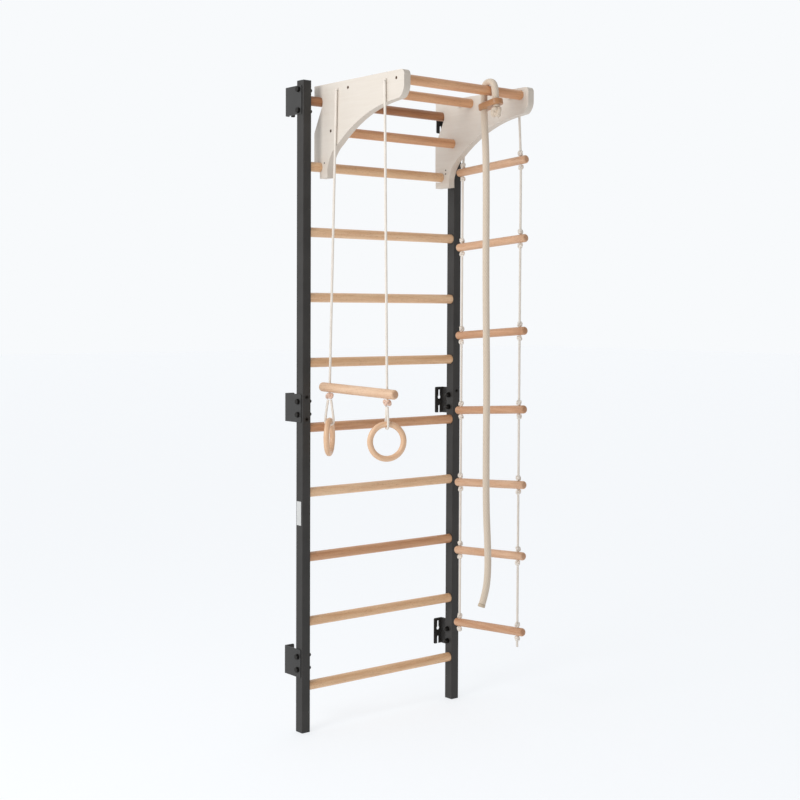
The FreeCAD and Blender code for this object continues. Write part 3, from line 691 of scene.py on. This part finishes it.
# %% Wood that follows the ring
def ring_beech(name, pale, brown):
    material, shader = finish(name, roughness=0.4, Coat_Weight=0.12, Coat_Roughness=0.3)
    lay = add_node(material, "ShaderNodeUVMap", "UV", {}, uv_map="UVMap")
    size = (2 * math.pi * RING_MAJOR / 1000 * GRAIN, math.pi * RING_TUBE / 1000, 1.0)
    grain = add_node(material, "ShaderNodeMapping", "Vector", {"Vector": lay, "Scale": size})
    streaks = add_node(material, "ShaderNodeTexNoise", "Fac", {
        "Vector": grain, "Scale": per_metre(9.0), "Detail": 4.0, "Roughness": ROUGHENING})
    pores = add_node(material, "ShaderNodeTexNoise", "Fac", {
        "Vector": grain, "Scale": per_metre(2.4), "Detail": 2.0, "Roughness": ROUGHENING})
    streak_share = add_node(material, "ShaderNodeMapRange", "Result", {
        "Value": streaks, "From Min": 0.3, "From Max": 0.7})
    pore_share = add_node(material, "ShaderNodeMapRange", "Result", {
        "Value": pores, "From Min": 0.5, "From Max": 0.75, "To Max": 0.3})
    wood = add_node(material, "ShaderNodeMix", MIX_COLOUR, {
        MIX_SHARE: streak_share, MIX_FIRST: linear(pale), MIX_SECOND: linear(brown)}, data_type="RGBA")
    lined = add_node(material, "ShaderNodeMix", MIX_COLOUR, {
        MIX_SHARE: pore_share, MIX_FIRST: wood, MIX_SECOND: linear("#a9764c")}, data_type="RGBA")
    plug_in(material, shader, lined, pores, depth_mm=0.12)
    return material


ring_wood = ring_beech("turned_beech_ring", "#ebc6a3", "#dbae88")


def turned_ring(name, hang, heading):
    hole, u = TRAPEZE_ROPES[name]
    crown = at(TRAPEZE_X, u, trapeze_knot_h(u) - KNOT_RADIUS - hang)
    across = Vector((-math.sin(heading), math.cos(heading), 0))
    bpy.ops.mesh.primitive_torus_add(
        major_segments=112, minor_segments=32, major_radius=RING_MAJOR / 1000, minor_radius=RING_TUBE / 2000,
        location=crown - Vector((0, 0, RING_MAJOR / 1000)),
        rotation=across.to_track_quat("Z", "X").to_euler(), generate_uvs=True)
    ring = bpy.context.active_object
    ring.name = "turned_ring_" + name
    bpy.ops.object.transform_apply(location=True, rotation=True, scale=True)
    bpy.ops.object.shade_smooth()
    give(ring, ring_wood, name + "_ring", ["ring_" + name])
    side = RING_TUBE / 2 + THIN / 2 + SEAT
    neck = THIN / 2 + LOOP_NECK
    up = Vector((0, 0, (hang - 2 * SEAT) / 1000))
    lift = Vector((0, 0, RING_TUBE / 2000))
    drop = Vector((0, 0, -side / 1000))
    apart, close = across * side / 1000, across * neck / 1000
    points = [crown + up - close, crown + lift - apart, crown + drop - apart,
              crown + drop + apart, crown + lift + apart, crown + up + close]
    thin_rope("ring_rope_" + name, name + "_ring", points)


for name, (hang, heading) in RINGS.items():
    turned_ring(name, hang, heading)

# %% [markdown]
# ## Knots
# A simple overhand knot, pulled tight, is close to the curve called a trefoil. The same closed tube is
# used for every knot, squeezed to the knot's width, depth and height, and each copy is turned a little so
# that no two look alike.


# %% Knots
KNOT_TURN = 0.9
KNOT_RELIEF = 0.1
TREFOIL_REACH = 2.8
NEXT_TO = 0.01


def knot_rings(centre, half, tube, spin, steps, sides):
    """Rings of points round a trefoil inside a box of half sizes, in millimetres."""
    rings, heights, distances = [], [], []

    def spot(t):
        x = (math.sin(t) + 2 * math.sin(2 * t)) / TREFOIL_REACH
        y = (math.cos(t) - 2 * math.cos(2 * t)) / TREFOIL_REACH
        z = -math.sin(3 * t)
        turned = Matrix.Rotation(spin, 3, "Z") @ Vector((x, y, z))
        return Vector((turned.x * half[0], turned.y * half[1], turned.z * half[2])) / 1000

    walked = 0.0
    for i in range(steps):
        t = 2 * math.pi * i / steps
        point = spot(t)
        ahead = (spot(t + NEXT_TO) - spot(t - NEXT_TO)).normalized()
        normal = (point - ahead * point.dot(ahead)).normalized()
        side = ahead.cross(normal)
        ring = []
        for j in range(sides):
            angle = 2 * math.pi * j / sides
            height = plait(angle, walked * 1000, **THIN_PLAIT)
            reach = tube / 1000 * (1 - KNOT_RELIEF * (1 - height))
            ring.append(centre + point + normal * (reach * math.cos(angle)) + side * (reach * math.sin(angle)))
            heights.append(height)
        rings.append(ring)
        distances.append(walked)
        walked += (spot(t + 2 * math.pi / steps) - point).length
    return rings, heights, distances


def joined(pieces, name):
    """Makes one named piece of several."""
    only(pieces[0])
    for piece in pieces[1:]:
        piece.select_set(True)
    if len(pieces) > 1:
        bpy.ops.object.join()
    whole = bpy.context.view_layer.objects.active
    whole.name = name
    return whole


def tied_knots(name, places, material, body, replaced, half, tube, steps=56, sides=10):
    """One piece of tied knots, each at its own place and turn."""
    knots = [skin("%s_%d" % (name, i), *knot_rings(centre, half, tube, KNOT_TURN * i, steps, sides), True)
             for i, centre in enumerate(places)]
    piece = joined(knots, name)
    give(piece, material, body, replaced)
    print(name, len(places), "knots,", len(piece.data.polygons), "faces")
    return piece


def height_on(line, z):
    """The point of a falling line at height z."""
    for a, b in zip(line, line[1:]):
        if a.z >= z >= b.z:
            return a + (b - a) * ((a.z - z) / (a.z - b.z))
    return line[-1]


trapeze_knot_places = [at(TRAPEZE_X, u, trapeze_knot_h(u)) for hole, u in TRAPEZE_ROPES.values()]
tied_knots("tied_trapeze_knots", trapeze_knot_places, knot_fibre, "trapeze",
           ["trapeze_knots"], half=(6.3, 14.8, 6.3), tube=5.0)

LADDER_SLOPE = 24.0
LADDER_REAR = 52.0
LADDER_SPAN = 367.0
LADDER_ROD = 30.0
LADDER_KNOT_RADIUS = 9.5
KNOT_PLAY = 0.4
LADDER_KNOTS = {"rear": -74.5, "front": -388.0}
KNOT_LIFT = LADDER_ROD / 2 + LADDER_KNOT_RADIUS + SEAT + KNOT_PLAY
ladder_knot_places = []
for drop in LADDER_DROPS:
    for name, u in LADDER_KNOTS.items():
        middle = -drop + ((-u - LADDER_REAR) / LADDER_SPAN - 0.5) * LADDER_SLOPE
        for way in (1, -1):
            z = (TOP_RUNG + middle + way * KNOT_LIFT) / 1000
            ladder_knot_places.append(height_on(ladder_lines[name], z))
tied_knots("tied_ladder_knots", ladder_knot_places, thin_fibre, "rope_ladder",
           ["ladder_knots"], half=(6.2, 6.2, 5.4), tube=4.4, steps=44, sides=8)

# %% [markdown]
# ## Anchors
# Each thin rope is knotted behind the board, comes out through its hole, and turns down. The knot and
# the turn stay with the board when the rope swings.


# %% Anchors
ANCHOR_KNOT = 10.0
ANCHOR_SHAPE = {"half": (5.4, 5.4, 5.4), "tube": 4.4, "spin": 0.4, "steps": 48, "sides": 8}


def anchors(name, outside, outward, x_end, node):
    pieces = []
    for hole in (REAR_HOLE, FRONT_HOLE):
        knot_x = outside - outward * (PANEL + SEAT + ANCHOR_KNOT)
        tied = knot_rings(at(knot_x, hole, HOLE_H), **ANCHOR_SHAPE)
        knot = skin(name + "_knot_%d" % -hole, *tied, True)
        line = smooth_line(name, [at(knot_x, hole, HOLE_H), at(outside, hole, HOLE_H),
                                  at(x_end, hole, HOLE_H), at(x_end, hole, HOLE_H - THIN / 2)])
        stub, length = plaited_tube(name + "_stub_%d" % -hole, line, THIN, **THIN_PLAIT, **THIN_MESH)
        pieces += [knot, stub]
        print("%s: rope end %.0f mm" % (name, length * 1000))
    give(joined(pieces, name), thin_fibre, "pull_up_unit", [node])


anchors("trapeze_rope_tops", UNIT_LEFT, -1, TRAPEZE_X, "trapeze_anchors")
anchors("ladder_rope_tops", UNIT_RIGHT, 1, LADDER_X, "ladder_anchors")

# %% [markdown]
# ## The climbing rope
# The thick rope starts at its stopper knot, passes up through the wooden adjuster, goes over the front bar
# and down behind it, back through the adjuster, and hangs in slow waves to its taped end.

# %% Climbing rope
BAR_U, BAR_H = BAR_PLACES[0]
BAR = 34.0
WRAP = BAR / 2 + THICK / 2 + SEAT
climb_route = [
    (136, -33, -57.5), (134, -32, -25), (129, -WRAP, WRAP), (135, WRAP, WRAP), (138, WRAP + 0.5, -48),
    (135, 25, -105), (128, 9, -205), (121, -2, -360), (119, -4, -560), (126, 1, -760), (130, -1, -1030),
    (127, -3, -1240), (131, 0, -1460), (140, -1, -1600), (140, -2, -1690), (131, -2, -1755), (116, 1, -1798),
]
climb_points = [at(x, BAR_U + u, BAR_H + h) for x, u, h in climb_route]
climb_line = smooth_line("climbing_rope", climb_points)
climb, climb_length = plaited_tube("climbing_rope_plaited", climb_line, THICK, strands=12, pitch=26.0,
                                   step=2.6, sides=36, relief=0.13)
give(climb, thick_fibre, "climbing_rope_set", ["climbing_rope"])
print("climbing rope: %.0f mm" % (climb_length * 1000))

STOPPER = 38.0
upward_run = (climb_points[1] - climb_points[0]).normalized()
stopper_centre = climb_points[0] - upward_run * (STOPPER / 2000)
stopper = tied_knots("tied_stopper_knot", [stopper_centre], thick_fibre, "climbing_rope_set",
                     ["rope_stopper_knot"], half=(12.0, 12.0, 11.0), tube=8.0, steps=72, sides=16)

# %% [markdown]
# ## Floor, light and background
# The studio is a plain pale floor under a soft white sky. A floor lit from above never quite matches the
# sky behind it, so it glows a little of its own, until the two meet without a line. The sky is dimmer behind
# the camera than in front of it, because light from there makes the posts' fronts too pale. A large soft lamp
# on the left makes the posts' outer sides brighter than their fronts and lays soft shadows on the boards.

# %% Floor
FLOOR_HALF = 40.0
UNDER_FEET = 0.0005
FLOOR_GLOW = 0.72
bpy.ops.mesh.primitive_plane_add(size=2 * FLOOR_HALF, location=(0, 0, -UNDER_FEET))
floor = bpy.context.active_object
floor.name = "studio_floor"
floor_paint, floor_shader = finish("studio_floor_paint", 0.9)
floor_shader.inputs["Base Color"].default_value = linear("#8f9194")
floor_shader.inputs["Emission Color"].default_value = linear("#f8fafc")
floor_shader.inputs["Emission Strength"].default_value = FLOOR_GLOW
floor.data.materials.append(floor_paint)

# %% Light
ROOM_GLOW = 0.4
BEHIND, AHEAD = -0.5, 0.2
LAMP_PLACE = (-3.6, -0.6, 2.9)
LAMP_AIM = (0.0, 0.0, 1.3)
world = bpy.data.worlds.new("studio")
bpy.context.scene.world = world
world.use_nodes = True
sky = world.node_tree.nodes["Background"]
sky.inputs["Color"].default_value = linear("#f8fafc")
outwards = add_node(world, "ShaderNodeTexCoord", "Generated", {})
ahead_share = add_node(world, "ShaderNodeSeparateXYZ", "Y", {"Vector": outwards})
glow = add_node(world, "ShaderNodeMapRange", "Result", {
    "Value": ahead_share, "From Min": BEHIND, "From Max": AHEAD, "To Min": ROOM_GLOW, "To Max": 1.0})
world.node_tree.links.new(glow, sky.inputs["Strength"])


def soft_lamp(name, place, target, size, power):
    lamp = bpy.data.lights.new(name, "AREA")
    lamp.shape = "DISK"
    lamp.size = size
    lamp.energy = power
    holder = bpy.data.objects.new(name, lamp)
    aim = (Vector(target) - Vector(place)).to_track_quat("-Z", "Y").to_matrix().to_4x4()
    holder.matrix_world = Matrix.Translation(Vector(place)) @ aim
    bpy.context.collection.objects.link(holder)


soft_lamp("key_lamp", LAMP_PLACE, LAMP_AIM, size=1.6, power=60.0)
